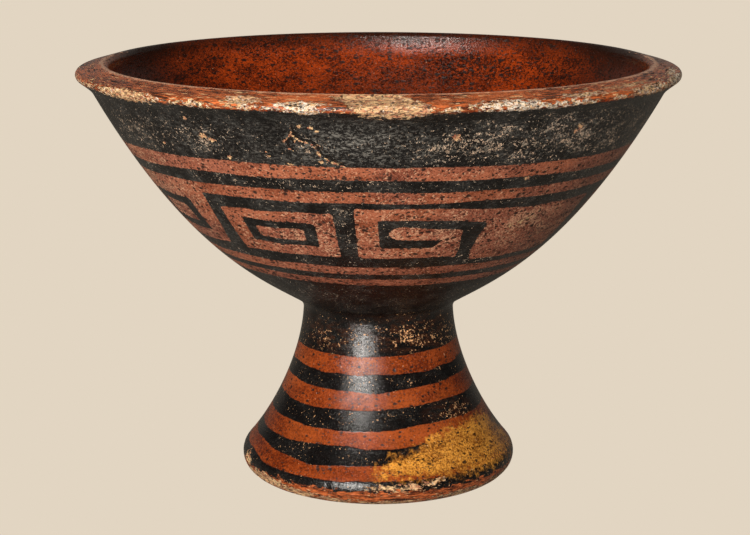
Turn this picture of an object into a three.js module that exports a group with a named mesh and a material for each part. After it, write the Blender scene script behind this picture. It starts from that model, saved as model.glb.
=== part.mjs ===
// A terracotta bowl on a flared pedestal, thrown and fired as one piece.
// Millimetres and degrees, +Z up, with the origin on the floor under the middle of the foot.
// The front, where the largest loss on the lip lies, faces -Y.
import * as THREE from 'three';

// Overall size
const bowlDiameter = 230;
const totalHeight = 162.5;

// Everted lip: a low crest inside, falling to a rounded outer edge
const lipWidth = 10.2;
const lipFall = 4;
const lipCrestRadius = 2.3;
const lipEdgeRadius = 1.7;
const lipDepth = 10.2;
const lipOverhang = 6.1;
const lipTopSlope = 15;
const lipUnderSlope = 35;

// Bowl wall: the lean is the angle between the wall and the floor
const wallThickness = 7.2;
const wallTopLean = 61.2;
const wallBottomLean = 31.8;
const wallTopPullShare = 0.62;
const wallBottomPullShare = 0.16;

// Neck, the crease where the bowl sits on its pedestal
const neckDiameter = 58.8;
const neckHeight = 66.5;
const creaseWidth = 3.4;
const creaseHeight = 3.8;
const creaseDrop = 0.95;

// Flared pedestal, hollow beneath
const footDiameter = 108;
const footEdgeRadius = 6.6;
const footLean = 49;
const neckLean = 87.3;
const flareTopShare = 0.345;
const flareBottomShare = 0.25;
const restingRing = 5;
const footWall = 8;
const bowlFloorThickness = 12;
const bowlFloorShare = 0.5;
const vaultShare = 0.55;
const vaultShoulderShare = 0.8;

// Facets
const turnSteps = 72;

// Shallow losses: how deep the deepest is and how far it reaches from the worn edge, then
// where each lies, half its width and its share of that depth
const lipLossDepth = 1.6;
const lipLossReach = 11.2;
const lipLosses = [
  { angle: 4, halfWidth: 12, share: 1 },
  { angle: -52, halfWidth: 14, share: 0.62 },
  { angle: 58, halfWidth: 11, share: 0.5 },
  { angle: 152, halfWidth: 12, share: 0.56 },
];
const footLossDepth = 0.9;
const footLossReach = 8.6;
const footLosses = [
  { angle: -48, halfWidth: 16, share: 1 },
  { angle: 28, halfWidth: 18, share: 0.78 },
  { angle: 160, halfWidth: 14, share: 0.89 },
];

const rimRadius = bowlDiameter / 2;
const neckRadius = neckDiameter / 2;
const footRadius = footDiameter / 2;

const point = (r, z) => new THREE.Vector2(r, z);

const direction = (degrees) => {
  const angle = THREE.MathUtils.degToRad(degrees);
  return point(Math.cos(angle), Math.sin(angle));
};

const along = (start, degrees, length) => start.clone().addScaledVector(direction(degrees), length);

// A smooth curve that leaves its start and reaches its end at the given angles
function sweep(start, startAngle, startPull, end, endAngle, endPull) {
  const span = start.distanceTo(end);
  const first = along(start, startAngle, startPull * span);
  const second = along(end, endAngle, -endPull * span);
  return new THREE.CubicBezierCurve(start, first, second, end);
}

// Where the lines through two points at two angles cross
function crossing(a, angleA, b, angleB) {
  const u = direction(angleA);
  const v = direction(angleB);
  const gap = b.clone().sub(a);
  const reach = (gap.x * v.y - gap.y * v.x) / (u.x * v.y - u.y * v.x);
  return a.clone().addScaledVector(u, reach);
}

// A rounded bend between two points that leaves and arrives at the given angles
function bend(a, angleA, b, angleB, steps) {
  return new THREE.QuadraticBezierCurve(a, crossing(a, angleA, b, angleB), b).getPoints(steps);
}

// An arc through the angles in stops, with so many steps from each to the next
function arc(centre, radius, stops, steps) {
  const points = [along(centre, stops[0], radius)];
  steps.forEach((count, part) => {
    for (let i = 1; i <= count; i += 1) {
      const angle = THREE.MathUtils.lerp(stops[part], stops[part + 1], i / count);
      points.push(along(centre, angle, radius));
    }
  });
  return points;
}

// The line a curve gives when it is moved sideways, to the left of its travel
function offset(curve, distance, steps) {
  const points = [];
  for (let i = 0; i <= steps; i += 1) {
    const t = i / steps;
    const tangent = curve.getTangent(t);
    points.push(curve.getPoint(t).addScaledVector(point(-tangent.y, tangent.x), distance));
  }
  return points;
}

// The outline turned about the axis, from the middle of the bowl's floor, out over
// the lip, down the outside and under the foot to the middle of its hollow
function outline() {
  const wallTop = point(rimRadius - lipOverhang, totalHeight - lipDepth);
  const wallBottom = point(neckRadius + creaseWidth, neckHeight + creaseHeight);
  const wall = sweep(
    wallBottom, wallBottomLean, wallBottomPullShare,
    wallTop, wallTopLean, wallTopPullShare,
  );

  const inside = offset(wall, wallThickness, 10);
  const floorEdge = inside[0];
  const floorMiddle = crossing(floorEdge, wallBottomLean, point(0, 0), 90).y;
  const floorHeight = THREE.MathUtils.lerp(floorMiddle, floorEdge.y, bowlFloorShare);
  const bowlFloor = bend(point(0, floorHeight), 0, floorEdge, wallBottomLean, 4);

  const crestCentre = point(rimRadius - lipWidth, totalHeight - lipCrestRadius);
  const edgeCentre = point(rimRadius - lipEdgeRadius, totalHeight - lipFall);
  const crest = arc(crestCentre, lipCrestRadius, [180, 90, 90 - lipTopSlope], [3, 1]);
  const edge = arc(edgeCentre, lipEdgeRadius, [90 - lipTopSlope, 0, lipUnderSlope - 90], [2, 2]);
  const under = bend(edge[edge.length - 1], lipUnderSlope, wallTop, wallTopLean, 3);

  const outside = wall.getPoints(12).reverse();
  const pedestalTop = point(neckRadius, neckHeight - creaseDrop);
  const crease = bend(wallBottom, wallBottomLean, pedestalTop, 90, 3);
  const footCentre = point(footRadius - footEdgeRadius, footEdgeRadius);
  const footArc = arc(footCentre, footEdgeRadius, [90 - footLean, 0, -90], [2, 3]);
  const flare = sweep(
    pedestalTop, -neckLean, flareTopShare,
    footArc[0], -footLean, flareBottomShare,
  );

  const hollow = offset(flare, -footWall, 7).reverse();
  const hollowFoot = point(footCentre.x - restingRing, 0);
  const ceiling = floorHeight - bowlFloorThickness;
  const spring = THREE.MathUtils.lerp(0, ceiling, vaultShare);
  const shaft = hollow.filter((p) => p.y < spring && p.y > 0 && p.x < hollowFoot.x);
  const shoulder = shaft[shaft.length - 1];
  const vaultTop = point(0, ceiling);
  const vaultCorner = point(shoulder.x * vaultShoulderShare, ceiling);
  const vault = new THREE.QuadraticBezierCurve(shoulder, vaultCorner, vaultTop);

  return [
    ...bowlFloor,
    ...inside.slice(1),
    ...crest,
    ...edge,
    ...under.slice(1),
    ...outside.slice(1),
    ...crease.slice(1),
    ...flare.getPoints(7).slice(1),
    ...footArc.slice(1),
    hollowFoot,
    ...shaft,
    ...vault.getPoints(5).slice(1),
  ];
}

// How deep the losses are at an angle, as a share of the deepest
function lossShare(angle, losses) {
  let share = 0;
  for (const loss of losses) {
    const apart = THREE.MathUtils.euclideanModulo(angle - loss.angle + 180, 360) - 180;
    const reach = Math.abs(apart) / loss.halfWidth;
    if (reach < 1) share = Math.max(share, loss.share * Math.cos((reach * Math.PI) / 2) ** 2);
  }
  return share;
}

// Fades a loss with the distance from the edge that it wears
const fade = (distance, reach) => THREE.MathUtils.smoothstep(reach - distance, 0, reach);

// Wears the outer edge of the lip and of the foot inward
function wear(geometry) {
  const position = geometry.attributes.position;
  const lipEdge = point(rimRadius, totalHeight - lipFall);
  const footEdge = point(footRadius, footEdgeRadius);
  for (let i = 0; i < position.count; i += 1) {
    const x = position.getX(i);
    const y = position.getY(i);
    const spot = point(Math.hypot(x, y), position.getZ(i));
    const angle = THREE.MathUtils.radToDeg(Math.atan2(x, -y));
    const lipShare = lossShare(angle, lipLosses) * fade(spot.distanceTo(lipEdge), lipLossReach);
    const footShare = lossShare(angle, footLosses) * fade(spot.distanceTo(footEdge), footLossReach);
    const loss = Math.max(lipLossDepth * lipShare, footLossDepth * footShare);
    if (spot.x > loss && loss > 0) {
      const scale = 1 - loss / spot.x;
      position.setXY(i, x * scale, y * scale);
    }
  }
  position.needsUpdate = true;
}

function pedestalBowl() {
  const profile = outline().reverse();
  const geometry = new THREE.LatheGeometry(profile, turnSteps);
  geometry.rotateX(Math.PI / 2);
  wear(geometry);
  const slip = new THREE.MeshStandardMaterial({ color: 0x8a4128, roughness: 0.5, metalness: 0 });
  const mesh = new THREE.Mesh(geometry, slip);
  mesh.name = 'pedestal_bowl';
  return mesh;
}

const group = new THREE.Group();
group.add(pedestalBowl());

export default group;
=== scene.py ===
import math

import bpy
import numpy as np
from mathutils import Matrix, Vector, kdtree


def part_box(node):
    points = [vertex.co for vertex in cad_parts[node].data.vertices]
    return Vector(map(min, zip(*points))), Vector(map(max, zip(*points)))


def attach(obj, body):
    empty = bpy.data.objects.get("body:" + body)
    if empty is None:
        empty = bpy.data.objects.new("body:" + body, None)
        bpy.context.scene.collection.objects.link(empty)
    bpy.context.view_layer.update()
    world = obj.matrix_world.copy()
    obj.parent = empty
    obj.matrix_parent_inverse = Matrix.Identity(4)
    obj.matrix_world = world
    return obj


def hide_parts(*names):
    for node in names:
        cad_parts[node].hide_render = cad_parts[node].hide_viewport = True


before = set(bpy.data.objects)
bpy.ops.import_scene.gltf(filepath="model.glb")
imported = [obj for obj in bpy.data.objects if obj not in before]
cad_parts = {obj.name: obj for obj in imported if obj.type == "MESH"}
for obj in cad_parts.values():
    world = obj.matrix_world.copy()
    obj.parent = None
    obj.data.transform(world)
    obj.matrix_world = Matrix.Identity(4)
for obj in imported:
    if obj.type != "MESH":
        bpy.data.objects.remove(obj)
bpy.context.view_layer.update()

print("frame loaded")


# Node and object helpers

def addNode(tree, kind, inputs=None, **settings):
    item = tree.nodes.new("ShaderNode" + kind)
    for name, value in settings.items():
        setattr(item, name, value)
    for socket, value in (inputs or {}).items():
        if isinstance(value, bpy.types.NodeSocket):
            tree.links.new(value, item.inputs[socket])
        else:
            item.inputs[socket].default_value = value
    return item


# The helpers below add their node to the tree of the first socket that they are given
def treeOf(*values):
    return next(value.id_data for value in values if isinstance(value, bpy.types.NodeSocket))


def maths(operation, *values):
    inputs = dict(enumerate(values))
    return addNode(treeOf(*values), "Math", inputs, operation=operation).outputs[0]


def times(first, second):
    return maths("MULTIPLY", first, second)


def timesPlus(first, second, third):
    return maths("MULTIPLY_ADD", first, second, third)


def minus(first, second):
    return maths("SUBTRACT", first, second)


def larger(first, second):
    return maths("MAXIMUM", first, second)


def vectorMaths(operation, *values):
    inputs = dict(enumerate(values))
    return addNode(treeOf(*values), "VectorMath", inputs, operation=operation).outputs[0]


def ramp(value, low, high, start=0, end=1):
    item = addNode(
        treeOf(value, low, high), "MapRange",
        {"Value": value, "From Min": low, "From Max": high, "To Min": start, "To Max": end},
        interpolation_type="SMOOTHSTEP",
    )
    return item.outputs["Result"]


def mix(share, first, second):
    item = addNode(treeOf(share, first, second), "Mix", {0: share, 6: first, 7: second},
                   data_type="RGBA", clamp_factor=True)
    return item.outputs[2]


def noise(place, scale, detail, roughness, distortion=0):
    item = addNode(treeOf(place), "TexNoise", {
        "Vector": place, "Scale": scale, "Detail": detail, "Roughness": roughness,
        "Distortion": distortion})
    return item.outputs["Fac"]


# A node group. An input without a value is a vector, and one with four values a colour.
def newGroup(name, inputs, outputs):
    tree = bpy.data.node_groups.new(name, "ShaderNodeTree")
    for label, value in inputs.items():
        kind = "Vector" if value is None else "Color" if isinstance(value, tuple) else "Float"
        socket = tree.interface.new_socket(label, in_out="INPUT", socket_type="NodeSocket" + kind)
        if value is not None:
            socket.default_value = value
    for label in outputs:
        kind = "NodeSocketColor" if label == "Color" else "NodeSocketFloat"
        tree.interface.new_socket(label, in_out="OUTPUT", socket_type=kind)
    start = tree.nodes.new("NodeGroupInput")
    end = tree.nodes.new("NodeGroupOutput")
    return tree, start.outputs, end.inputs


def useGroup(group, inputs):
    return addNode(treeOf(*inputs.values()), "Group", inputs, node_tree=group).outputs


def stored(tree, name):
    return addNode(tree, "Attribute", attribute_name=name).outputs["Fac"]


def colour(red, green, blue):
    def linear(value):
        value = value / 255
        return value / 12.92 if value < 0.04045 else ((value + 0.055) / 1.055) ** 2.4
    return (linear(red), linear(green), linear(blue), 1)


# The turned shape, in metres and degrees. The overall radius and height are the frame's.
bowlShape = {
    "lipWidth": 0.0102,
    "lipFall": 0.004,
    "lipCrestRadius": 0.0023,
    "lipEdgeRadius": 0.0017,
    "lipDepth": 0.0102,
    "lipOverhang": 0.0061,
    "lipTopSlope": 15,
    "lipUnderSlope": 35,
    "wallThickness": 0.0072,
    "wallTopLean": 61.2,
    "wallBottomLean": 31.8,
    "wallTopPull": 0.62,
    "wallBottomPull": 0.16,
    "neckRadius": 0.0294,
    "neckHeight": 0.0665,
    "creaseWidth": 0.0034,
    "creaseHeight": 0.0038,
    "creaseDrop": 0.00095,
    "footRadius": 0.054,
    "footEdgeRadius": 0.0066,
    "footLean": 49,
    "neckLean": 87.3,
    "flareTopPull": 0.345,
    "flareBottomPull": 0.25,
    "restingRing": 0.005,
    "footWall": 0.008,
    "floorThickness": 0.012,
    "floorShare": 0.5,
    "vaultShare": 0.55,
    "vaultShoulder": 0.8,
    "turns": 384,
}


def along(start, degrees, length):
    angle = math.radians(degrees)
    return start + Vector((math.cos(angle), math.sin(angle))) * length


def bezier(points, steps):
    line = []
    for step in range(steps + 1):
        share = step / steps
        level = list(points)
        while len(level) > 1:
            level = [a.lerp(b, share) for a, b in zip(level, level[1:])]
        line.append(level[0])
    return line


def sweep(start, startAngle, startPull, end, endAngle, endPull, steps):
    span = (end - start).length
    first = along(start, startAngle, startPull * span)
    second = along(end, endAngle, -endPull * span)
    return bezier([start, first, second, end], steps)


def crossing(a, angleA, b, angleB):
    u = along(Vector((0, 0)), angleA, 1)
    v = along(Vector((0, 0)), angleB, 1)
    gap = b - a
    return a + u * ((gap.x * v.y - gap.y * v.x) / (u.x * v.y - u.y * v.x))


def bend(a, angleA, b, angleB, steps):
    return bezier([a, crossing(a, angleA, b, angleB), b], steps)


def arc(centre, radius, start, end, steps):
    return [along(centre, start + (end - start) * i / steps, radius) for i in range(steps + 1)]


def offset(line, distance):
    moved = []
    for i, spot in enumerate(line):
        tangent = (line[min(i + 1, len(line) - 1)] - line[max(i - 1, 0)]).normalized()
        moved.append(spot + Vector((-tangent.y, tangent.x)) * distance)
    return moved


def resample(line, steps):
    lengths = [0]
    for a, b in zip(line, line[1:]):
        lengths.append(lengths[-1] + (b - a).length)
    wanted = np.linspace(0, lengths[-1], steps + 1)
    radii = np.interp(wanted, lengths, [p.x for p in line])
    heights = np.interp(wanted, lengths, [p.y for p in line])
    return [Vector((r, z)) for r, z in zip(radii, heights)]


def bowlOutline(shape, rimRadius, height):
    wallTop = Vector((rimRadius - shape["lipOverhang"], height - shape["lipDepth"]))
    wallBottom = Vector((shape["neckRadius"] + shape["creaseWidth"],
                         shape["neckHeight"] + shape["creaseHeight"]))
    wall = sweep(wallBottom, shape["wallBottomLean"], shape["wallBottomPull"],
                 wallTop, shape["wallTopLean"], shape["wallTopPull"], 240)
    inside = offset(wall, shape["wallThickness"])
    floorMiddle = crossing(inside[0], shape["wallBottomLean"], Vector((0, 0)), 90).y
    floorHeight = floorMiddle + (inside[0].y - floorMiddle) * shape["floorShare"]
    bowlFloor = bend(Vector((0, floorHeight)), 0, inside[0], shape["wallBottomLean"], 40)

    crestCentre = Vector((rimRadius - shape["lipWidth"], height - shape["lipCrestRadius"]))
    edgeCentre = Vector((rimRadius - shape["lipEdgeRadius"], height - shape["lipFall"]))
    slope = shape["lipTopSlope"]
    crest = arc(crestCentre, shape["lipCrestRadius"], 180, 90 - slope, 8)
    edgeTop = arc(edgeCentre, shape["lipEdgeRadius"], 90 - slope, 0, 5)
    edgeUnder = arc(edgeCentre, shape["lipEdgeRadius"], 0, shape["lipUnderSlope"] - 90, 4)
    under = bend(edgeUnder[-1], shape["lipUnderSlope"], wallTop, shape["wallTopLean"], 40)

    pedestalTop = Vector((shape["neckRadius"], shape["neckHeight"] - shape["creaseDrop"]))
    crease = bend(wallBottom, shape["wallBottomLean"], pedestalTop, 90, 40)
    footCentre = Vector((shape["footRadius"] - shape["footEdgeRadius"], shape["footEdgeRadius"]))
    footArc = arc(footCentre, shape["footEdgeRadius"], 90 - shape["footLean"], -90, 14)
    flare = sweep(pedestalTop, -shape["neckLean"], shape["flareTopPull"],
                  footArc[0], -shape["footLean"], shape["flareBottomPull"], 200)
    hollow = offset(flare, -shape["footWall"])[::-1]
    hollowFoot = Vector((footCentre.x - shape["restingRing"], 0))
    ceiling = floorHeight - shape["floorThickness"]
    spring = ceiling * shape["vaultShare"]
    shaft = [p for p in hollow if 0 < p.y < spring and p.x < hollowFoot.x]
    corner = Vector((shaft[-1].x * shape["vaultShoulder"], ceiling))
    vault = bezier([shaft[-1], corner, Vector((0, ceiling))], 40)

    parts = [
        ("floor", resample(bowlFloor, 8)),
        ("inside", resample(inside, 26)),
        ("crest", crest),
        ("lipTop", resample([crest[-1], edgeTop[0]], 8)),
        ("edge", edgeTop),
        ("edgeUnder", edgeUnder),
        ("under", resample(under, 8)),
        ("wall", resample(wall[::-1], 92)),
        ("crease", resample(crease, 5)),
        ("flare", resample(flare, 50)),
        ("footArc", footArc),
        ("ring", resample([footArc[-1], hollowFoot], 3)),
        ("hollow", resample([hollowFoot] + shaft, 12)),
        ("vault", resample(vault, 8)),
    ]
    line = [parts[0][1][0]]
    starts = {}
    for name, points in parts:
        starts[name] = len(line) - 1
        for spot in points:
            if (spot - line[-1]).length > 0.00005:
                line.append(spot)
    return line, starts


def turnedMesh(name, line, turns):
    bpy.ops.object.select_all(action="DESELECT")
    bpy.ops.mesh.primitive_plane_add(size=0.01)
    piece = bpy.context.object
    piece.name = name
    bpy.ops.object.mode_set(mode="EDIT")
    bpy.ops.mesh.select_all(action="SELECT")
    bpy.ops.mesh.merge(type="CENTER")
    first = line[0]
    bpy.ops.transform.translate(value=(0, first.x, first.y))
    for a, b in zip(line, line[1:]):
        bpy.ops.mesh.extrude_region_move(
            TRANSFORM_OT_translate={"value": (0, b.x - a.x, b.y - a.y)})
    bpy.ops.object.mode_set(mode="OBJECT")
    bpy.ops.object.modifier_add(type="SCREW")
    screw = piece.modifiers[-1]
    screw.steps = screw.render_steps = turns
    screw.angle = math.tau
    screw.axis = "Z"
    screw.use_merge_vertices = True
    screw.merge_threshold = 0.00001
    bpy.ops.object.modifier_apply(modifier=screw.name)
    bpy.ops.object.mode_set(mode="EDIT")
    bpy.ops.mesh.select_all(action="SELECT")
    bpy.ops.mesh.remove_doubles(threshold=0.00001)
    bpy.ops.mesh.normals_make_consistent(inside=False)
    bpy.ops.object.mode_set(mode="OBJECT")
    bpy.ops.object.shade_smooth()
    return piece


# Where each vertex lies on the turned surface: the angle from the front in degrees and
# the length of the outline to it in millimetres
def surfacePlaces(piece, line):
    mesh = piece.data
    spots = np.empty(len(mesh.vertices) * 3)
    mesh.vertices.foreach_get("co", spots)
    spots = spots.reshape(-1, 3)
    radius = np.hypot(spots[:, 0], spots[:, 1])
    tree = kdtree.KDTree(len(line))
    for i, spot in enumerate(line):
        tree.insert((spot.x, spot.y, 0), i)
    tree.balance()
    row = np.array([tree.find((r, z, 0))[1] for r, z in zip(radius, spots[:, 2])])
    lengths = np.zeros(len(line))
    for i in range(1, len(line)):
        lengths[i] = lengths[i - 1] + (line[i] - line[i - 1]).length * 1000
    angle = np.degrees(np.arctan2(spots[:, 0], -spots[:, 1]))
    return {"spots": spots, "radius": radius * 1000, "angle": angle, "lengths": lengths,
            "down": lengths[row]}


# Where the outside of the wall and of the pedestal start, in millimetres down from their
# tops, and the distances given to places that are far from a shape or from a line
wallStart = -8
footStart = -6
farOutside = -99
farAway = 99


def wrap(degrees):
    return (degrees + 180) % 360 - 180


# A slow waver round the bowl, as a hand-held brush leaves
def waver(angle, size, seed, first=3, last=17):
    chance = np.random.default_rng(seed)
    total = np.zeros_like(angle)
    for turn in range(first, last):
        total += chance.normal() * np.sin(np.radians(turn * angle) + chance.uniform(0, math.tau))
    return total * size / math.sqrt((last - first) / 2)


# Soft spots, each given as angle, place down the surface, half width in degrees, half
# height in millimetres and strength
def softSpots(angle, down, spots):
    total = np.zeros_like(angle)
    for centre, place, wide, tall, strength in spots:
        reach = (wrap(angle - centre) / wide) ** 2 + ((down - place) / tall) ** 2
        total += strength * np.exp(-reach)
    return total


# The same spots with an edge: the distance in millimetres inside the nearest one
def edgedSpots(angle, down, spots):
    total = np.full_like(angle, farOutside)
    for centre, place, wide, tall in spots:
        reach = np.sqrt((wrap(angle - centre) / wide) ** 2 + ((down - place) / tall) ** 2)
        total = np.maximum(total, (1 - reach) * tall)
    return total


# How far inside a painted shape a place lies, in millimetres, below zero outside it
def insideShape(angle, down, radius, corners):
    middle = sum(corner[0] for corner in corners) / len(corners)
    scale = np.radians(1) * radius
    shift = wrap(middle - angle)
    across = [(shift + corner[0] - middle) * scale for corner in corners]
    drop = [corner[1] - down for corner in corners]
    nearest = np.full_like(angle, 1e6)
    within = np.zeros(len(angle), dtype=bool)
    for i in range(len(corners)):
        ax, ay = across[i - 1], drop[i - 1]
        bx, by = across[i], drop[i]
        sideX, sideY = bx - ax, by - ay
        share = -(ax * sideX + ay * sideY) / np.maximum(sideX ** 2 + sideY ** 2, 1e-9)
        share = np.clip(share, 0, 1)
        nearest = np.minimum(nearest, np.hypot(ax + share * sideX, ay + share * sideY))
        crosses = (ay > 0) != (by > 0)
        with np.errstate(divide="ignore", invalid="ignore"):
            hit = ax - ay * sideX / np.where(sideY == 0, 1e-9, sideY)
        within ^= crosses & (hit > 0)
    return np.where(within, nearest, -nearest)


# The distance to fine lines in millimetres, below zero on their left
def signedLines(angle, down, radius, lines):
    scale = np.radians(1) * radius
    nearest = np.full_like(angle, farAway)
    for line in lines:
        for (angleA, downA), (angleB, downB) in zip(line, line[1:]):
            ax, ay = wrap(angleA - angle) * scale, downA - down
            sideX, sideY = (angleB - angleA) * scale, downB - downA
            share = np.clip(-(ax * sideX + ay * sideY) / (sideX ** 2 + sideY ** 2), 0, 1)
            apart = np.hypot(ax + share * sideX, ay + share * sideY)
            signed = np.where(ax * sideY - ay * sideX < 0, -apart, apart)
            nearest = np.where(apart < np.abs(nearest), signed, nearest)
    return np.where(np.abs(nearest) < 2.5, nearest, farAway)


# The points of flakes on the surface, in millimetres
def flakePoints(flakes, line, lengths, start):
    radii = [spot.x * 1000 for spot in line]
    heights = [spot.y * 1000 for spot in line]
    points = []
    for angle, down, wide, tall in flakes:
        radius = np.interp(start + down, lengths, radii)
        height = np.interp(start + down, lengths, heights)
        turn = math.radians(angle)
        points.append((radius * math.sin(turn), -radius * math.cos(turn), height, wide, tall))
    return points


# Painted decoration. Angles run to the right from the front; the second figure is the way
# down the surface in millimetres, from the top of the wall or of the pedestal.
paintPlan = {
    "upperBand": {"top": (17.3, 2.4, 15), "bottom": (23.2, 3.2, 11)},
    "secondBand": {"top": (28.9, 2, 10), "bottom": (34.1, 1.7, 10)},
    "thinBands": [(70, 75), (78.8, 83.3)],
    "thinBandLean": 1.55,
    "ring": [
        ("red", [(-40, 40.6), (-10.5, 39.4), (-10.5, 63.3), (-40.5, 63.1)]),
        ("black", [(-34.8, 45), (-15.2, 45.2), (-15.7, 57.9), (-35, 57.2)]),
        ("red", [(-31.8, 48.8), (-18.6, 48.5), (-18.8, 55), (-31.8, 54.2)]),
    ],
    "hook": [
        ("red", [(-5.5, 37.1), (5, 36.8), (15, 37.3), (26, 38.8), (26, 64),
                 (-5.5, 64)]),
        ("black", [(-0.3, 42.5), (10, 42.9), (21.5, 44), (21.5, 58.8), (0.3, 57.8),
                   (0.3, 54.2), (16.8, 54), (16.8, 48.2), (3.8, 45.6), (2.6, 49.4),
                   (5, 53.1), (-0.3, 53.1)]),
    ],
    "front": [
        ("red", [(-5.5, 37.1), (5, 36.8), (15, 37.3), (25, 38.8), (30, 39.6),
                 (40, 40.2), (61, 40.2), (61, 68), (28, 67.7), (20, 64),
                 (-5.5, 64)]),
        ("black", [(-0.3, 42.5), (10, 42.9), (20, 44), (27.2, 46), (26.2, 53.8),
                   (26.2, 62.5), (28.2, 70.2), (21.5, 70.2), (22.1, 64), (22.2, 60),
                   (21.2, 52.5), (21.2, 49), (15, 47.9), (5.4, 46), (3.6, 46.8),
                   (2.5, 48.6), (2.5, 50.4), (3.5, 52.2), (5.4, 53.2), (16.8, 54),
                   (14.2, 58.1), (0.3, 57.8)]),
    ],
    "leftRing": [
        ("red", [(-76, 31), (-43.6, 31), (-43.7, 38.4), (-44.5, 50.4), (-46.6, 62),
                 (-53, 62.6), (-76, 63)]),
        ("black", [(-70.5, 39.6), (-51, 39.8), (-51.2, 47), (-51.2, 56.6), (-70.5, 56.2)]),
        ("red", [(-66.8, 43.4), (-55.4, 43.8), (-54.6, 52.4), (-66.8, 52)]),
    ],
    "pedestalBands": [
        ([(-80, 13.7), (0, 13.1), (30, 12.5), (70, 11.6)],
         [(-80, 19.8), (-40, 20.4), (0, 20), (40, 19.4), (60, 18.5)]),
        ([(-60, 26.5), (0, 26.9), (20, 25.5), (60, 24.4)],
         [(-80, 33.5), (-50, 34.4), (0, 33.3), (40, 31.6)]),
        ([(-50, 42.1), (0, 41.6), (20, 40.1), (40, 39.5)],
         [(-50, 49.1), (-15, 47.3), (-6, 48.7), (15, 47.5)]),
        ([(-80, 53.2), (-40, 55.6), (-30, 56.2), (-10, 55)],
         [(-70, 58.8), (-50, 62.5), (-40, 63.1), (-20, 62.2), (-10, 61)]),
    ],
    "ochre": [(-4, 57.5), (0, 53), (5, 49.4), (15, 48), (25, 44.4), (40, 43.3), (70, 42),
              (84, 49), (90, 61.5), (-4, 61.5)],
    "ochreThinning": {"angle": 6, "halfWidth": 32, "depth": 3},
    "footLine": (61.5, 65.5),
    "innerSlipPastTip": 0.9,
    "lipSlipInset": 2.6,
    "lipSlipFade": 0.3,
    "lipWearEnd": 112,
    "backPanels": 6,
    "backStart": 66,
    "backPitch": 35.67,
    "backOrder": [("ring", 43), ("hook", 7.5)],
    "brushWaver": 0.15,
}


def shifted(shape, turn):
    return [(kind, [(angle + turn, down) for angle, down in corners]) for kind, corners in shape]


def paintShapes(angle, down, radius, field, shapes):
    for kind, corners in shapes:
        inside = insideShape(angle, down, radius, corners)
        if kind == "red":
            field = np.maximum(field, inside)
        else:
            field = np.minimum(field, -inside)
    return field


def between(down, top, bottom):
    return np.minimum(down - top, bottom - down)


def redPaint(places, plan):
    angle, radius, onBowl, onFoot = [places[key] for key in ("angle", "radius", "onBowl", "onFoot")]
    size = plan["brushWaver"]

    def edge(values, seed):
        base, swing, turn = values
        bow = swing * (1 - np.cos(np.radians(2 * (angle + turn)))) / 2
        return base + bow + waver(angle, size, seed)

    bowl = np.full_like(angle, farOutside)
    wobbled = onBowl + waver(angle, size, 5, 9, 30)
    for name in ("front", "ring", "leftRing"):
        bowl = paintShapes(angle, wobbled, radius, bowl, plan[name])
    for place in range(plan["backPanels"]):
        name, turn = plan["backOrder"][place % 2]
        shape = shifted(plan[name], plan["backStart"] + place * plan["backPitch"] + turn)
        bowl = paintShapes(angle, wobbled, radius, bowl, shape)
    for seed, name in ((11, "upperBand"), (13, "secondBand")):
        band = plan[name]
        bowl = np.maximum(bowl, between(onBowl, edge(band["top"], seed),
                                        edge(band["bottom"], seed + 1)))
    lean = plan["thinBandLean"] * np.sin(np.radians(angle))
    for seed, (top, bottom) in enumerate(plan["thinBands"]):
        bowl = np.maximum(bowl, between(onBowl - lean, top + waver(angle, size, 20 + seed),
                                        bottom + waver(angle, size, 30 + seed)))

    foot = np.full_like(angle, farOutside)
    for seed, (top, bottom) in enumerate(plan["pedestalBands"]):
        upper = np.interp(angle, *zip(*top), period=360) + waver(angle, size, 40 + seed)
        lower = np.interp(angle, *zip(*bottom), period=360) + waver(angle, size, 50 + seed)
        foot = np.maximum(foot, between(onFoot, upper, lower))
    start, end = plan["footLine"]
    line = between(onFoot, start + waver(angle, size, 61), end + waver(angle, size, 62))
    foot = np.maximum(foot, onFoot - end)
    foot = np.minimum(foot, -line)
    return np.where(onFoot > footStart, foot, bowl)


def slipFields(places, marks, plan):
    angle, radius, down = places["angle"], places["radius"], places["down"]
    thin = plan["ochreThinning"]
    reach = thin["halfWidth"]
    thinning = np.clip((reach - np.abs(angle - thin["angle"])) / reach, 0, 1)
    ochre = insideShape(angle, places["onFoot"], radius, plan["ochre"])
    slipEnd = marks["lipTip"] + plan["innerSlipPastTip"] - down
    lipSlip = np.minimum(slipEnd, down - marks["lipCrest"] - plan["lipSlipInset"])
    ends = plan["lipSlipFade"] * (plan["lipWearEnd"] - np.abs(angle))
    return {
        "surfaceDown": down,
        "redPaint": redPaint(places, plan),
        "ochrePaint": ochre - thinning * thin["depth"],
        "innerSlip": slipEnd + waver(angle, 0.4, 91, 4, 30),
        "lipSlip": np.minimum(lipSlip, ends),
    }


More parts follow.
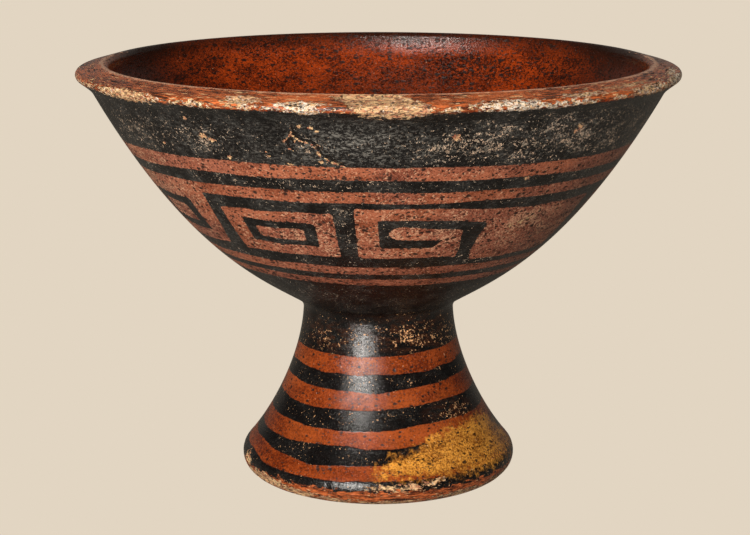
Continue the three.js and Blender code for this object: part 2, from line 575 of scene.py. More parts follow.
# Where the surface is worn, sooty or chipped, and where shade and highlights are painted
# on it. Most places are given as angle, way down, half width in degrees, half height in
# millimetres and, where it varies, strength.
wearPlan = {
    "lipScar": [
        (-8.6, -9.5), (-7, -6), (-5, -1.5), (-3.4, 1.5), (-2.2, 4), (3.5, 4.4), (7, 3.6), (8.8, 0),
        (8, -3.5), (5.5, -7), (4, -11), (-4.5, -12),
    ],
    "lipChips": [
        (-51, 0.4, 9, 2.8), (-24, -3.6, 3.5, 3.2), (-13, -1.5, 4, 2.6), (22, -1.6, 6, 2.2),
        (38, -3.4, 5, 1.6), (57, -0.5, 8, 2.4), (52, -5.5, 6, 1.2), (71, -0.6, 6, 2.6),
        (76, -4.5, 5, 1.5), (152, -1, 9, 4.5), (-120, -2, 5, 4), (104, 0.5, 4, 2.6),
        (-160, 0.5, 7, 2.4),
    ],
    # Pale lip tip: rubbed wear with a painted highlight along the tip, made stronger at the ends of
    # the lip to lighten them
    "tipRubAndHighlight": [
        (-15, 0, 9, 9, 0.7), (26, 0, 17, 9, 0.75), (-36, 0, 9, 9, 0.4), (62, 0, 14, 9, 0.4),
        (82, 0, 12, 9, 0.9), (-62, 0, 9, 9, 0.35), (-84, 0, 12, 9, 0.5), (150, 0, 40, 9, 0.4),
    ],
    "footChips": [
        (-56, 68, 15, 2.4), (-36, 69.2, 10, 2), (-19, 70.4, 9, 1.6), (-72, 64, 4, 2.6),
        (8, 70.6, 12, 1.4), (36, 69.8, 12, 1.8), (62, 68.8, 12, 1.7), (3, 63.6, 6, 1.1),
        (14, 63.2, 6, 1.2), (22, 62.6, 4, 0.9), (160, 67.6, 12, 1.8), (-120, 68.5, 9, 1.6),
        (110, 69, 8, 1.4),
    ],
    "bowlSpecks": [
        (-54, 8, 14, 9, 0.7), (-33, 9, 9, 8, 0.6), (-60, 24, 9, 6, 0.3), (-12, 8, 3, 6, 0.5),
        (12, 9, 9, 8, 0.55), (26, 8, 15, 10, 0.7), (45, 8, 14, 12, 0.6), (66, 12, 16, 12, 0.55),
        (32, 66, 7, 5, 0.9), (-7, 46, 4, 16, 0.5), (-30, 26, 22, 2.5, 0.45),
        (20, 26, 40, 2.5, 0.3), (55, 36, 30, 3, 0.25), (0, 67, 50, 2.5, 0.25),
        (0, 96, 70, 14, 0.12), (130, 8, 20, 7, 0.7), (-150, 9, 16, 8, 0.7), (175, 12, 12, 6, 0.5),
    ],
    # Grey wear on the black slip; the strong patch at the front below the lip is a painted sheen
    "bowlGreyAndSheen": [
        (-4, 8, 11, 9, 0.95), (-30, 8, 20, 10, 0.2), (40, 8, 30, 11, 0.2), (170, 8, 30, 10, 0.5),
        (-110, 8, 22, 10, 0.4),
    ],
    "bowlBrown": [
        (45, 54, 16, 14, 0.9), (60, 78, 25, 9, 0.5), (0, 98, 60, 5, 0.12), (-60, 70, 14, 18, 0.25),
        (150, 70, 20, 14, 0.6),
    ],
    # Dark smudges on the red; the wide spot across the front near 78 mm down makes the thin bands
    # darker towards the bottom of the wall
    "mottle": [
        (52, 54, 20, 18, 1.3), (12, 50, 16, 14, 0.5), (-22, 54, 20, 10, 0.3), (0, 78, 60, 8, 1.5),
        (160, 50, 24, 14, 0.7), (-110, 44, 16, 14, 0.6),
    ],
    "footSpecks": [
        (30, 6, 26, 6, 0.8), (-42, 9, 17, 4, 0.65), (-8, 6, 22, 5, 0.35), (66, 8, 14, 6, 0.7),
        (-74, 9, 9, 4, 0.6), (47, 37, 16, 3, 0.6), (10, 23, 50, 2.4, 0.25), (-20, 52, 26, 3, 0.15),
        (-30, 38, 34, 3, 0.25), (150, 8, 30, 5, 0.7), (-130, 37, 16, 3, 0.6),
    ],
    "footBrown": [
        (30, 5, 34, 8, 1), (-40, 7, 30, 6, 0.8), (48, 37, 18, 5, 0.9), (150, 8, 40, 7, 0.7),
    ],
    "cracks": [
        [(-15.2, 2), (-15.2, 3.7), (-14.3, 5.7), (-12.2, 6.5), (-11, 9.1), (-10.8, 11.4),
         (-9, 14), (-6.8, 16.2)],
        [(-15.2, 3.7), (-17, 7.5), (-16, 10)],
    ],
    "crackWidth": 0.5,
    "footRimStart": 65.2,
    # A pale line along the lip's inner crest: rubbed wear and a painted highlight
    "crestRubAndHighlight": {"width": 0.8, "up": 0.4, "fade": 0.1, "end": 98},
    "plainDust": 0.38,
    # Pale dust on the red slip; the spots over the frets at the front are stronger to lighten that
    # less lit part of the wall as painted light
    "dustAndPaintedLight": [
        (0, 26, 40, 60, 0.2), (-14, 52, 24, 14, 0.5), (18, 50, 14, 12, 0.5), (40, 47, 7, 5, 1.1),
        (52, 52, 20, 16, 0.5), (0, 79, 60, 6, -0.3), (-62, 34, 14, 30, 0.7),
    ],
    "footDust": [(-8, 35, 16, 40, 0.12), (45, 15, 20, 8, 0.25)],
    "lipSoot": [
        (-84, -4, 22, 8, 0.75), (-45, -7, 12, 5, 0.8), (-88, 0, 5, 4, 1), (30, -6, 18, 4, 0.6),
        (62, -1, 14, 3, 0.4), (86, 0, 10, 3, 0.4), (150, -4, 30, 8, 0.8),
    ],
    "insideSootEnd": -1,
    "insideSoot": [
        (157, 8, 14, 12, 1), (128, 6, 18, 13, 0.85), (177, 15, 12, 6, 0.75), (-150, 14, 7, 4, 0.7),
        (-132, 6, 12, 8, 0.75), (-168, 10, 14, 9, 0.3), (30, 30, 40, 20, 0.4),
    ],
    # Painted shade inside the bowl: towards its two sides, along the top of the far rim and in
    # patches on the walls
    "insidePaintedShade": [
        (108, 4, 24, 22, 0.8), (-110, 4, 20, 22, 0.8), (180, -7, 80, 6, 0.9),
        (176, 20, 24, 9, 0.5), (10, 30, 60, 30, 0.3),
    ],
}

# Single flakes on the wall, as angle, way down, half width and half height in millimetres
wallFlakes = [
    (-14, 0.2, 0.8, 0.5), (-12, 0.9, 0.9, 0.5), (-11, 2.3, 0.6, 0.5), (-16.5, 10, 0.6, 0.4),
    (-11.2, 8.2, 0.7, 0.6), (-11, 15.4, 0.9, 0.5), (-8.4, 15.4, 1.6, 0.5),
    (-21, 13.7, 0.8, 0.4), (-17.2, 16.8, 0.9, 0.4), (-21.5, 12, 0.5, 0.4),
    (-34.5, 7.2, 1.5, 0.8), (-32.8, 8.6, 1.3, 0.8), (-30, 15.7, 0.9, 0.5),
    (40.2, 4.6, 1.1, 1.2), (39.4, 6.4, 0.6, 1.2), (14, 5.1, 1.4, 1.1), (32.2, 25.3, 1.2, 0.6),
    (34.6, 49.2, 1.2, 0.7), (37.4, 48.2, 1.5, 0.8), (39.8, 46.8, 0.9, 0.6),
    (-37.2, 0.4, 0.8, 0.5), (-47, 13.1, 0.7, 0.5),
]


def wearFields(places, marks, plan):
    angle, radius, down, fromTip, onBowl, onFoot = [places[key] for key in (
        "angle", "radius", "down", "fromTip", "onBowl", "onFoot")]
    isFoot = onFoot > footStart
    onWall = (onBowl > wallStart) & ~isFoot
    # The pale line along the tip is rubbed wear and a painted highlight, drawn as bare clay with
    # white flecks
    paleTipAndHighlight = softSpots(angle, fromTip, plan["tipRubAndHighlight"])
    tipWearAndHighlight = 1.6 * paleTipAndHighlight - 0.1 - np.abs(fromTip - 0.5 * paleTipAndHighlight)
    tipWearAndHighlight += waver(angle, 0.45, 71, 6, 60)
    bareAndTipHighlight = np.maximum(edgedSpots(angle, fromTip, plan["lipChips"]), tipWearAndHighlight)
    bareAndTipHighlight = np.maximum(bareAndTipHighlight, insideShape(angle, fromTip, radius, plan["lipScar"]))
    bareAndTipHighlight = np.maximum(bareAndTipHighlight, edgedSpots(angle, onFoot, plan["footChips"]))
    bareAndTipHighlight = np.maximum(bareAndTipHighlight, down - marks["ringStart"] - 0.5)
    # The pale crest line, rubbed wear and a painted highlight
    crestLinePlan = plan["crestRubAndHighlight"]
    rubbedAndHighlight = crestLinePlan["width"] - np.abs(down - marks["lipTop"] + crestLinePlan["up"])
    rubbedAndHighlight = np.minimum(rubbedAndHighlight, crestLinePlan["fade"] * (crestLinePlan["end"] - np.abs(angle)))
    insideDown = marks["lipCrest"] - down

    def placed(bowlName, footName):
        onPart = np.where(isFoot, softSpots(angle, onFoot, plan[footName]) if footName else 0, 0)
        return np.where(onWall, softSpots(angle, onBowl, plan[bowlName]), onPart)

    crackSide = signedLines(angle, onBowl, radius, plan["cracks"])
    return {
        "bareClayAndTipHighlight": bareAndTipHighlight,
        "paleTipAndHighlight": paleTipAndHighlight,
        "rubbedAndHighlight": rubbedAndHighlight,
        "footRim": onFoot - plan["footRimStart"],
        "specks": placed("bowlSpecks", "footSpecks"),
        "greyWearAndSheen": placed("bowlGreyAndSheen", None),
        "brownWear": placed("bowlBrown", "footBrown"),
        "mottle": placed("mottle", None),
        # Pale dust, stronger over the front frets as painted light
        "dustAndPaintedLight": np.where(onWall, plan["plainDust"] + softSpots(angle, onBowl, plan["dustAndPaintedLight"]),
                         softSpots(angle, onFoot, plan["footDust"])),
        "crackSide": np.where(onWall, crackSide, farAway),
        "soot": np.where(insideDown > plan["insideSootEnd"],
                         softSpots(angle, insideDown, plan["insideSoot"]),
                         softSpots(angle, fromTip, plan["lipSoot"])),
        # Painted shade inside the bowl, darkening its colour
        "paintedInsideShade": softSpots(angle, insideDown, plan["insidePaintedShade"]) * (down < marks["lipTip"]),
        "onFoot": isFoot.astype(float),
    }


# Small hollows where the lip and the foot are chipped, and nicks along their edges: how
# deep they go in and down, and how far their edges slope, in millimetres
chipDepths = {"lip": 1.1, "lipTop": 0.7, "foot": 0.7, "nick": 0.35, "lipSlope": 2.4,
              "footSlope": 1.6}


def eased(values):
    values = np.clip(values, 0, 1)
    return values * values * (3 - 2 * values)


def wearDown(places, plan, depths):
    spots, angle, fromTip, onFoot = [places[key] for key in ("spots", "angle", "fromTip", "onFoot")]
    scar = insideShape(angle, fromTip, places["radius"], plan["lipScar"])
    chips = edgedSpots(angle, fromTip, plan["lipChips"])
    lip = eased(np.maximum(scar, chips) / depths["lipSlope"])
    foot = eased(edgedSpots(angle, onFoot, plan["footChips"]) / depths["footSlope"])
    nicks = np.clip(waver(angle, 0.6, 81, 20, 110) - 0.25, 0, 1)
    nearTip = np.exp(-(fromTip / 1.6) ** 2)
    nearFoot = np.exp(-((onFoot - 66) / 3) ** 2)
    rough = 0.65 + 0.35 * waver(angle + 2.2 * fromTip, 0.6, 83, 30, 120)
    inward = depths["lip"] * lip * rough + depths["foot"] * foot
    inward = inward + depths["nick"] * nicks * np.maximum(nearTip, nearFoot)
    radius = np.maximum(places["radius"], 1)
    inward = np.minimum(inward, radius * 0.2)
    spots[:, 0] *= 1 - inward / radius
    spots[:, 1] *= 1 - inward / radius
    topSide = (fromTip < 0) & (fromTip > -14)
    spots[:, 2] -= np.where(topSide, depths["lipTop"] / 1000 * lip * rough, 0)


# A flat map of the surface in strips, each one turn or half a turn of the bowl
stripPlan = [("wall", 2, 0.535), ("foot", 1, 0.185), ("lip", 1, 0.075), ("inner", 1, 0.15),
             ("beneath", 1, 0.055)]


def mapSurface(piece, places, marks):
    mesh = piece.data
    layer = mesh.uv_layers.new(name="OFBake")
    corners = np.empty(len(mesh.loops), dtype=np.int64)
    mesh.loops.foreach_get("vertex_index", corners)
    starts = np.empty(len(mesh.polygons), dtype=np.int64)
    counts = np.empty(len(mesh.polygons), dtype=np.int64)
    mesh.polygons.foreach_get("loop_start", starts)
    mesh.polygons.foreach_get("loop_total", counts)
    face = np.repeat(np.arange(len(starts)), counts)
    angle = places["angle"][corners]
    down = places["down"][corners]
    offAxis = (places["radius"][corners] > 0.01).astype(float)
    x = np.bincount(face, np.sin(np.radians(angle)) * offAxis)
    y = np.bincount(face, np.cos(np.radians(angle)) * offAxis)
    middle = np.degrees(np.arctan2(x, y))
    middleDown = np.bincount(face, down) / counts
    turned = middle[face] + wrap(angle - middle[face]) * offAxis
    limits = {
        "inner": (0, marks["lipCrest"]),
        "lip": (marks["lipCrest"], marks["wallTop"]),
        "wall": (marks["wallTop"], marks["pedestalTop"]),
        "foot": (marks["pedestalTop"], marks["ringStart"]),
        "beneath": (marks["ringStart"], marks["end"]),
    }
    across = np.zeros(len(corners))
    upward = np.zeros(len(corners))
    base = 0
    margin = 0.004
    for name, halves, tall in stripPlan:
        low, high = limits[name]
        chosen = (middleDown[face] >= low) & (middleDown[face] < high)
        share = (down - low) / (high - low)
        for half in range(halves):
            span = 360 / halves
            first = -180 + half * span
            side = chosen & (middle[face] >= first) & (middle[face] <= first + span + 0.001)
            height = tall / halves
            across = np.where(side, margin + (turned - first) / span * (1 - 2 * margin), across)
            upward = np.where(side, base + margin / 2 + share * (height - margin), upward)
            base += height
    layer.data.foreach_set("uv", np.stack([across, upward], axis=1).ravel())
    mesh.uv_layers.active = layer


def setAttributes(mesh, fields):
    for name, values in fields.items():
        layer = mesh.attributes.new(name, "FLOAT", "POINT")
        layer.data.foreach_set("value", np.asarray(values, dtype=np.float32))


# Node groups of the surface. Their sizes are in waves to the millimetre.

def raggedGroup():
    tree, given, result = newGroup(
        "raggedMask", {"Field": 0, "Place": None, "Size": 1, "Grain": 0.4,
                       "Softness": 0.15}, ["Mask"])
    grain = noise(given["Place"], given["Size"], 4, 0.65)
    grain = times(minus(grain, 0.5), given["Grain"])
    field = timesPlus(grain, 4, given["Field"])
    low = times(given["Softness"], -1)
    tree.links.new(ramp(field, low, given["Softness"]), result["Mask"])
    return tree


def pitsGroup():
    tree, given, result = newGroup(
        "pits", {"Place": None, "Size": 1, "Amount": 0.3, "Softness": 0.4}, ["Mask"])
    warp = addNode(tree, "TexNoise", {"Vector": given["Place"], "Scale": 1.4, "Detail": 2})
    moved = vectorMaths("ADD", given["Place"],
                        vectorMaths("MULTIPLY", warp.outputs["Color"], (0.7, 0.7, 0.7)))
    cells = addNode(tree, "TexVoronoi", {"Vector": moved, "Scale": given["Size"]})
    chance = addNode(tree, "SeparateColor", {"Color": cells.outputs["Color"]})
    reach = times(maths("POWER", chance.outputs["Red"], 1.6), given["Amount"])
    inner = times(reach, minus(1, given["Softness"]))
    mask = ramp(cells.outputs["Distance"], inner, reach, 1, 0)
    mask = times(mask, maths("GREATER_THAN", reach, 0.02))
    tree.links.new(mask, result["Mask"])
    return tree


def flecksGroup():
    tree, given, result = newGroup(
        "flecks", {"Place": None, "Size": 1, "Amount": 0.3, "Softness": 0.06,
                   "Curl": 0.6}, ["Mask"])
    grain = noise(given["Place"], given["Size"], 3, 0.62, given["Curl"])
    level = minus(0.78, times(given["Amount"], 0.34))
    high = maths("ADD", level, given["Softness"])
    tree.links.new(ramp(grain, level, high), result["Mask"])
    return tree


def threadsGroup():
    tree, given, result = newGroup(
        "threads", {"Place": None, "Size": 0.8, "Width": 0.04, "Amount": 0.3}, ["Mask"])
    line = noise(given["Place"], given["Size"], 3, 0.6, 0.8)
    apart = maths("ABSOLUTE", minus(line, 0.5))
    line = ramp(apart, times(given["Width"], 0.4), given["Width"], 1, 0)
    where = noise(vectorMaths("ADD", given["Place"], (40, 7, 3)), times(given["Size"], 1.05), 2,
                  0.6)
    level = minus(0.7, times(given["Amount"], 0.27))
    where = ramp(where, level, maths("ADD", level, 0.05))
    tree.links.new(times(line, where), result["Mask"])
    return tree


# How far inside the nearest single flake a place lies
def flakesGroup(points):
    tree, given, result = newGroup("flakes", {"Place": None}, ["Field"])
    nearest = 9
    for x, y, z, wide, tall in points:
        apart = vectorMaths("SUBTRACT", given["Place"], (x, y, z))
        apart = vectorMaths("MULTIPLY", apart, (1 / wide, 1 / wide, 1 / tall))
        reach = addNode(tree, "VectorMath", {0: apart}, operation="LENGTH")
        nearest = maths("MINIMUM", nearest, reach.outputs["Value"])
    tree.links.new(minus(1, nearest), result["Field"])
    return tree


# Colours of the finish, as seen in plain light, from 0 to 255, and one colour of painted shade
finishColours = {
    "blackDeep": (10, 9, 9),
    "blackSoft": (30, 29, 28),
    "blackGrey": (150, 146, 138),
    "blackBrown": (54, 29, 17),
    "speckGrey": (172, 158, 140),
    "speckTan": (240, 204, 172),
    "speckOrange": (240, 182, 128),
    "redDeep": (96, 44, 30),
    "redBright": (180, 110, 84),
    "redOrange": (186, 96, 44),
    "redDark": (48, 24, 16),
    "redDusty": (216, 164, 130),
    "footDeep": (84, 28, 8),
    "footBright": (152, 68, 26),
    "ochreDeep": (120, 66, 20),
    "ochreBright": (226, 156, 62),
    "lipDeep": (68, 30, 18),
    "lipBright": (208, 110, 60),
    "clay": (236, 196, 144),
    "clayPink": (190, 120, 86),
    # clayWhite also paints the highlight along the lip's tip
    "clayWhite": (246, 234, 216),
    "clayDark": (44, 26, 18),
    # soot also paints the shadow line along the edges of chips and flakes
    "soot": (20, 14, 11),
    # Colour of the painted shade inside the bowl
    "paintedInsideShade": (34, 18, 11),
    "insideDeep": (58, 16, 4),
    "insideBright": (172, 64, 14),
}


def blackSlipGroup(tones, flecks, threads):
    tree, given, result = newGroup(
        "blackSlip", {"Place": None, "Turned": None, "Grey": 0, "Brown": 0, "Specks": 0,
                      "Warmth": 0}, ["Color", "Height", "Dull"])
    place, turned = given["Place"], given["Turned"]
    veil = ramp(noise(place, 0.09, 4, 0.65), 0.43, 0.6)
    patch = ramp(noise(turned, 0.3, 4, 0.7), 0.42, 0.6)
    strokes = noise(turned, 0.9, 5, 0.75, 0.3)
    grain = noise(place, 1.1, 3, 0.75)
    light = larger(ramp(strokes, 0.5, 0.64), ramp(grain, 0.53, 0.66, 0, 0.9))
    plain = minus(1, times(given["Warmth"], 0.7))
    level = times(timesPlus(veil, 0.14, 0.05), plain)
    # Grey lightens the black with grey wear, and at the front with a painted sheen
    level = timesPlus(given["Grey"], 0.6, level)
    base = mix(times(veil, plain), tones["blackDeep"], tones["blackSoft"])
    base = mix(times(given["Grey"], 0.6), base, tones["blackSoft"])
    tone = mix(times(light, level), base, tones["blackGrey"])
    brown = ramp(noise(turned, 0.5, 4, 0.7), 0.42, 0.6)
    brown = times(brown, maths("ADD", given["Brown"], 0.05))
    tone = mix(brown, tone, tones["blackBrown"])
    spread = timesPlus(patch, 0.6, 0.4)
    amount = times(given["Specks"], spread)
    amount = timesPlus(times(veil, patch), 0.3, amount)
    worn = useGroup(flecks, {"Place": place, "Size": 1.3, "Curl": 1.6, "Softness": 0.04,
                             "Amount": times(amount, 0.6)})["Mask"]
    fine = useGroup(threads, {"Place": place, "Size": 0.95, "Width": 0.045,
                              "Amount": timesPlus(amount, 0.95, 0.08)})["Mask"]
    speck = noise(place, 0.6, 3, 0.8)
    tan = mix(ramp(speck, 0.42, 0.6), tones["speckGrey"], tones["speckTan"])
    tan = mix(given["Warmth"], tan, tones["speckOrange"])
    tone = mix(times(fine, 0.95), tone, tan)
    tone = mix(times(worn, 0.85), tone, tan)
    worn = larger(worn, fine)
    tree.links.new(tone, result["Color"])
    height = timesPlus(grain, 0.12, times(strokes, 0.12))
    height = minus(height, times(worn, 0.06))
    tree.links.new(height, result["Height"])
    tree.links.new(worn, result["Dull"])
    return tree


def redSlipGroup(tones, pits, threads):
    tree, given, result = newGroup(
        "redSlip", {"Place": None, "Turned": None, "Deep": tones["redDeep"],
                    "Bright": tones["redBright"], "Orange": 0, "Mottle": 0.4, "Dust": 0.3,
                    "Dusted": tones["redDusty"], "Pits": 0.4}, ["Color", "Height", "Dull"])
    place, turned = given["Place"], given["Turned"]
    broad = noise(turned, 0.12, 4, 0.65)
    grain = noise(place, 1.25, 4, 0.85)
    share = timesPlus(grain, 0.7, times(broad, 0.36))
    tone = mix(ramp(share, 0.43, 0.62), given["Deep"], given["Bright"])
    hue = ramp(noise(place, 0.03, 2, 0.5), 0.48, 0.6)
    hue = times(hue, given["Orange"])
    tone = mix(times(hue, share), tone, tones["redOrange"])
    smudge = noise(turned, 0.75, 5, 0.8, 0.8)
    smudge = times(ramp(smudge, 0.52, 0.63), given["Mottle"])
    tone = mix(smudge, tone, tones["redDark"])
    patch = ramp(noise(place, 0.16, 3, 0.6), 0.4, 0.6, 0.45, 1)
    dustAndPaintedLight = useGroup(threads, {"Place": place, "Size": 0.9, "Width": 0.085,
                              "Amount": times(given["Dust"], patch)})["Mask"]
    tone = mix(times(dustAndPaintedLight, 0.85), tone, given["Dusted"])
    flat = vectorMaths("MULTIPLY", place, (0.75, 0.75, 1.15))
    spots = useGroup(pits, {"Place": flat, "Size": 0.6, "Amount": given["Pits"]})["Mask"]
    small = useGroup(pits, {"Place": flat, "Size": 1.15, "Amount": given["Pits"]})["Mask"]
    spots = larger(spots, small)
    tone = mix(times(spots, 0.9), tone, tones["soot"])
    tree.links.new(tone, result["Color"])
    height = minus(times(grain, 0.16), times(spots, 0.12))
    tree.links.new(height, result["Height"])
    tree.links.new(larger(dustAndPaintedLight, spots), result["Dull"])
    return tree


def bareClayGroup(tones, pits, flecks):
    tree, given, result = newGroup(
        "bareClayAndTipHighlight", {"Place": None, "Turned": None, "TipHighlight": 0}, ["Color", "Height"])
    grain = noise(given["Turned"], 0.7, 5, 0.75, 0.4)
    tone = mix(ramp(grain, 0.38, 0.58), tones["clayPink"], tones["clay"])
    # White flecks, with more of them where the lip's tip carries its painted highlight
    amount = timesPlus(given["TipHighlight"], 0.8, 0.45)
    white = useGroup(flecks, {"Place": given["Place"], "Size": 1.1, "Amount": amount,
                              "Softness": 0.08})["Mask"]
    tone = mix(times(white, 0.85), tone, tones["clayWhite"])
    dark = noise(given["Turned"], 1.1, 4, 0.8, 1.2)
    dark = ramp(dark, 0.52, 0.57)
    tone = mix(times(dark, 0.85), tone, tones["clayDark"])
    holes = useGroup(pits, {"Place": given["Place"], "Size": 0.6, "Amount": 0.5})["Mask"]
    tone = mix(times(holes, 0.9), tone, tones["soot"])
    tree.links.new(tone, result["Color"])
    hollow = larger(dark, holes)
    height = minus(times(grain, 0.8), times(hollow, 0.35))
    tree.links.new(height, result["Height"])
    return tree


def paintedClay(finish, points, crackWidth):
    tones = {name: colour(*value) for name, value in finish.items()}
    ragged = raggedGroup()
    pits = pitsGroup()
    flecks = flecksGroup()
    threads = threadsGroup()
    flakes = flakesGroup(points)
    blackSlip = blackSlipGroup(tones, flecks, threads)
    redSlip = redSlipGroup(tones, pits, threads)
    bareClayAndTipHighlight = bareClayGroup(tones, pits, flecks)

    material = bpy.data.materials.new("paintedTerracotta")
    material.use_nodes = True
    tree = material.node_tree
    tree.nodes.clear()
    place = addNode(tree, "TexCoord").outputs["Object"]
    coordinates = vectorMaths("MULTIPLY", place, (1000, 1000, 1000))
    parts = addNode(tree, "SeparateXYZ", {"Vector": coordinates}).outputs
    down = stored(tree, "surfaceDown")

    def stretched(across, upward):
        return addNode(tree, "CombineXYZ", {
            "X": times(parts["X"], across),
            "Y": times(parts["Y"], across),
            "Z": times(down, upward)}).outputs[0]

    turned = stretched(0.5, 1.15)
    streaked = stretched(0.22, 1.1)
    here = {"Place": coordinates, "Turned": turned}

    onFoot = stored(tree, "onFoot")
    mottle = stored(tree, "mottle")
    dustAndPaintedLight = stored(tree, "dustAndPaintedLight")
    black = useGroup(blackSlip, {
        **here, "Grey": stored(tree, "greyWearAndSheen"), "Brown": stored(tree, "brownWear"),
        "Specks": stored(tree, "specks"), "Warmth": onFoot})
    red = useGroup(redSlip, {
        **here, "Deep": mix(onFoot, tones["redDeep"], tones["footDeep"]),
        "Bright": mix(onFoot, tones["redBright"], tones["footBright"]),
        "Orange": 0.35, "Mottle": timesPlus(mottle, 0.7, 0.2),
        "Dust": dustAndPaintedLight, "Pits": timesPlus(onFoot, -0.14, 0.58)})
    ochre = useGroup(redSlip, {**here, "Deep": tones["ochreDeep"], "Bright": tones["ochreBright"],
                               "Mottle": 0.85, "Dust": 0.1, "Dusted": tones["clay"], "Pits": 0.5})
    inner = useGroup(redSlip, {
        "Place": stretched(0.75, 0.95), "Turned": turned, "Deep": tones["insideDeep"],
        "Bright": tones["insideBright"], "Mottle": 0.6, "Dust": 0, "Pits": 0.56})
    lip = useGroup(redSlip, {
        "Place": streaked, "Turned": streaked, "Deep": tones["lipDeep"],
        "Bright": tones["lipBright"], "Mottle": 0.8, "Dust": 0.45, "Dusted": tones["clay"],
        "Pits": 0.5})
    # Bare clay of chips and wear, whitened along the lip's tip as a painted highlight
    bareAndTipHighlight = useGroup(bareClayAndTipHighlight, {**here, "TipHighlight": stored(tree, "paleTipAndHighlight")})

    def ragMask(field, place, size, grain, softness):
        return useGroup(ragged, {"Field": field, "Place": place, "Size": size, "Grain": grain,
                                 "Softness": softness})["Mask"]

    redMask = ragMask(stored(tree, "redPaint"), coordinates, 0.55, 0.26, 0.18)
    ochreMask = ragMask(stored(tree, "ochrePaint"), coordinates, 0.45, 4, 2.4)
    innerMask = ragMask(stored(tree, "innerSlip"), coordinates, 0.8, 0.9, 0.25)
    lipMask = ragMask(stored(tree, "lipSlip"), turned, 0.6, 1.6, 0.6)
    rimMask = ragMask(stored(tree, "footRim"), turned, 0.7, 2.6, 0.3)
    rubAndHighlightMask = ragMask(stored(tree, "rubbedAndHighlight"), streaked, 0.9, 1.4, 0.3)
    bareAndTipHighlightMask = ragMask(stored(tree, "bareClayAndTipHighlight"), turned, 0.75, 2.1, 0.2)
    flakeMask = ragMask(useGroup(flakes, {"Place": coordinates})["Field"], coordinates, 0.9, 1.3,
                        0.15)
    crackSide = maths("ABSOLUTE", stored(tree, "crackSide"))
    crackMask = ragMask(minus(crackWidth, crackSide), coordinates, 0.8, 0.3, 0.1)
    crackRim = minus(stored(tree, "crackSide"), crackWidth + 0.45)
    crackRim = minus(0.25, maths("ABSOLUTE", crackRim))
    crackRim = ragMask(crackRim, coordinates, 0.6, 0.9, 0.12)
    strokes = noise(coordinates, 0.7, 4, 0.75, 0.6)
    sootMask = timesPlus(stored(tree, "soot"), 0.19, minus(strokes, 0.67))
    sootMask = ramp(sootMask, 0, 0.05, 0, 0.9)

    tone = mix(redMask, black["Color"], red["Color"])
    tone = mix(ochreMask, tone, ochre["Color"])
    tone = mix(innerMask, tone, inner["Color"])
    tone = mix(larger(lipMask, rimMask), tone, lip["Color"])
    # Painted shade inside the bowl
    tone = mix(stored(tree, "paintedInsideShade"), tone, tones["paintedInsideShade"])
    tone = mix(times(sootMask, innerMask), tone, tones["soot"])
    # Pale crest line: rubbed wear and a painted highlight
    tone = mix(times(rubAndHighlightMask, 0.75), tone, tones["redDusty"])
    tone = mix(bareAndTipHighlightMask, tone, bareAndTipHighlight["Color"])
    flakeTone = mix(ramp(strokes, 0.42, 0.58), tones["redBright"], tones["clay"])
    flakeMask = larger(flakeMask, crackRim)
    tone = mix(flakeMask, tone, flakeTone)
    bareAndTipHighlightMask = larger(bareAndTipHighlightMask, flakeMask)
    # A painted shadow line along the edges of chips and flakes, in the soot colour, joined with the
    # dark of the crack
    chipEdgeShade = times(bareAndTipHighlightMask, minus(1, bareAndTipHighlightMask))
    dark = larger(times(chipEdgeShade, 3.2), crackMask)
    tone = mix(times(dark, 0.9), tone, tones["soot"])

    def blended(name, bareValue):
        value = black[name]
        for mask, over in ((redMask, red[name]), (innerMask, inner[name]), (lipMask, lip[name]),
                           (bareAndTipHighlightMask, bareValue)):
            value = addNode(tree, "Mix", {0: mask, 2: value, 3: over}).outputs[0]
        return value

    height = blended("Height", bareAndTipHighlight["Height"])
    step = times(larger(bareAndTipHighlightMask, crackMask), -0.35)
    height = maths("ADD", height, step)
    uneven = noise(coordinates, 0.06, 2, 0.5)
    height = timesPlus(uneven, 0.5, height)
    dull = blended("Dull", 1)
    roughGrain = noise(coordinates, 1.6, 3, 0.6)
    roughness = ramp(roughGrain, 0.35, 0.65, 0.22, 0.42)
    roughness = timesPlus(dull, 0.25, roughness)
    roughness = timesPlus(innerMask, -0.08, roughness)
    roughness = timesPlus(onFoot, -0.14, roughness)
    bump = addNode(tree, "Bump", {"Strength": 0.8, "Distance": 0.001, "Height": height})
    surface = addNode(tree, "BsdfPrincipled", {
        "Base Color": tone, "Roughness": roughness, "Normal": bump.outputs["Normal"],
        "Specular IOR Level": 0.42})
    addNode(tree, "OutputMaterial", {"Surface": surface.outputs["BSDF"]})
    return material


# The bowl
low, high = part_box("pedestal_bowl")
outline, outlineStarts = bowlOutline(bowlShape, high.x, high.z)
bowl = turnedMesh("paintedBowl", outline, bowlShape["turns"])
bowlPlaces = surfacePlaces(bowl, outline)
outlineLengths = bowlPlaces["lengths"]
bowlMarks = {"end": outlineLengths[-1] + 0.01}
for markName, partName in (("lipCrest", "crest"), ("lipTop", "lipTop"), ("lipTip", "edgeUnder"),
                           ("wallTop", "wall"), ("pedestalTop", "flare"), ("ringStart", "ring")):
    bowlMarks[markName] = outlineLengths[outlineStarts[partName]]
for placeName, markName in (("fromTip", "lipTip"), ("onBowl", "wallTop"),
                            ("onFoot", "pedestalTop")):
    bowlPlaces[placeName] = bowlPlaces["down"] - bowlMarks[markName]
print("bowl turned:", len(bowl.data.vertices), "vertices")

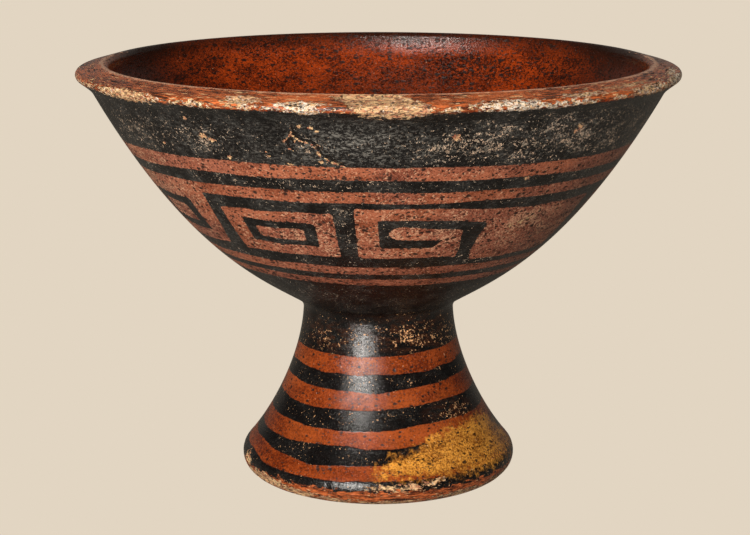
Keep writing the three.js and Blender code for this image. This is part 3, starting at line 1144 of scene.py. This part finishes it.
setAttributes(bowl.data, slipFields(bowlPlaces, bowlMarks, paintPlan))
setAttributes(bowl.data, wearFields(bowlPlaces, bowlMarks, wearPlan))
wearDown(bowlPlaces, wearPlan, chipDepths)
bowl.data.vertices.foreach_set("co", bowlPlaces["spots"].ravel())
mapSurface(bowl, bowlPlaces, bowlMarks)
bowl.data.update()
flakeSpots = flakePoints(wallFlakes, outline, outlineLengths, bowlMarks["wallTop"])
bowl.data.materials.append(paintedClay(finishColours, flakeSpots, wearPlan["crackWidth"]))
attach(bowl, "root")
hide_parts("pedestal_bowl")
print("bowl painted")


# Floor, lights and camera
stageLook = {
    "floorSize": 40,
    "floorColour": colour(226, 213, 194),
    "floorShade": (0.09, 0.083, 0.07, 1),
    "floorSheen": 0.13,
    "roomColour": (1, 0.97, 0.92, 1),
    "roomStrength": 0.035,
    "cameraPlace": (-0.0013, -0.7088, 0.2415),
    "cameraPitch": 77.2,
    "lens": 88.8,
}


# The soft lights: name, place, aim, width, height, watts, tint and the rays they serve
lightPlan = [
    ("keyFront", (-0.5, -1.35, 0.5), (0, 0, 0.08), 0.6, 0.6, 5.6, (1, 0.95, 0.9), ["diffuse"]),
    ("stripLeft", (-0.5, -1.2, 0.3), (0, 0, 0.08), 0.07, 0.9, 26, (1, 0.95, 0.89),
     ["diffuse", "glossy"]),
    ("sheenBehind", (0, 1.6, 0.5), (0, 0, 0.1), 3.2, 1, 1.5, (1, 0.9, 0.8), ["glossy"]),
    ("broadRight", (1.1, -0.75, 0.5), (0, 0, 0.08), 0.7, 0.7, 4.5, (1, 0.94, 0.87), ["diffuse"]),
    ("topLight", (0, -0.2, 1.3), (0, 0, 0.1), 0.8, 0.8, 3.6, (1, 0.92, 0.82), ["diffuse"]),
]


def stageFloor(look):
    bpy.ops.object.select_all(action="DESELECT")
    bpy.ops.mesh.primitive_plane_add(size=look["floorSize"], location=(0, 0, 0))
    floor = bpy.context.object
    floor.name = "paleFloor"
    material = bpy.data.materials.new("paleFloorPaint")
    material.use_nodes = True
    tree = material.node_tree
    tree.nodes.clear()
    path = addNode(tree, "LightPath").outputs
    seen = timesPlus(path["Is Glossy Ray"], look["floorSheen"],
                 path["Is Camera Ray"])
    glow = addNode(tree, "Emission", {"Color": look["floorColour"], "Strength": 1})
    plain = addNode(tree, "BsdfDiffuse", {"Color": look["floorShade"]})
    blend = addNode(tree, "MixShader", {0: seen, 1: plain.outputs[0], 2: glow.outputs[0]})
    addNode(tree, "OutputMaterial", {"Surface": blend.outputs[0]})
    floor.data.materials.append(material)


def softLight(name, place, target, width, tall, watts, tint, rays):
    bpy.ops.object.select_all(action="DESELECT")
    bpy.ops.object.light_add(type="AREA", location=place)
    lamp = bpy.context.object
    lamp.name = name
    lamp.data.shape = "RECTANGLE"
    lamp.data.size = width
    lamp.data.size_y = tall
    lamp.data.energy = watts
    lamp.data.color = tint
    aim = Vector(target) - Vector(place)
    lamp.rotation_euler = aim.to_track_quat("-Z", "Y").to_euler()
    lamp.visible_camera = False
    lamp.visible_diffuse = "diffuse" in rays
    lamp.visible_glossy = "glossy" in rays


stageFloor(stageLook)
for light in lightPlan:
    softLight(*light)
world = bpy.data.worlds.new("softRoom")
world.use_nodes = True
glow = world.node_tree.nodes["Background"].inputs
glow["Color"].default_value = stageLook["roomColour"]
glow["Strength"].default_value = stageLook["roomStrength"]
bpy.context.scene.world = world
bpy.context.scene.view_settings.view_transform = "Standard"

bpy.ops.object.camera_add(location=stageLook["cameraPlace"],
                          rotation=(math.radians(stageLook["cameraPitch"]), 0, 0))
camera = bpy.context.object
camera.name = "photoCamera"
camera.data.lens = stageLook["lens"]
bpy.context.scene.camera = camera
print("stage set")
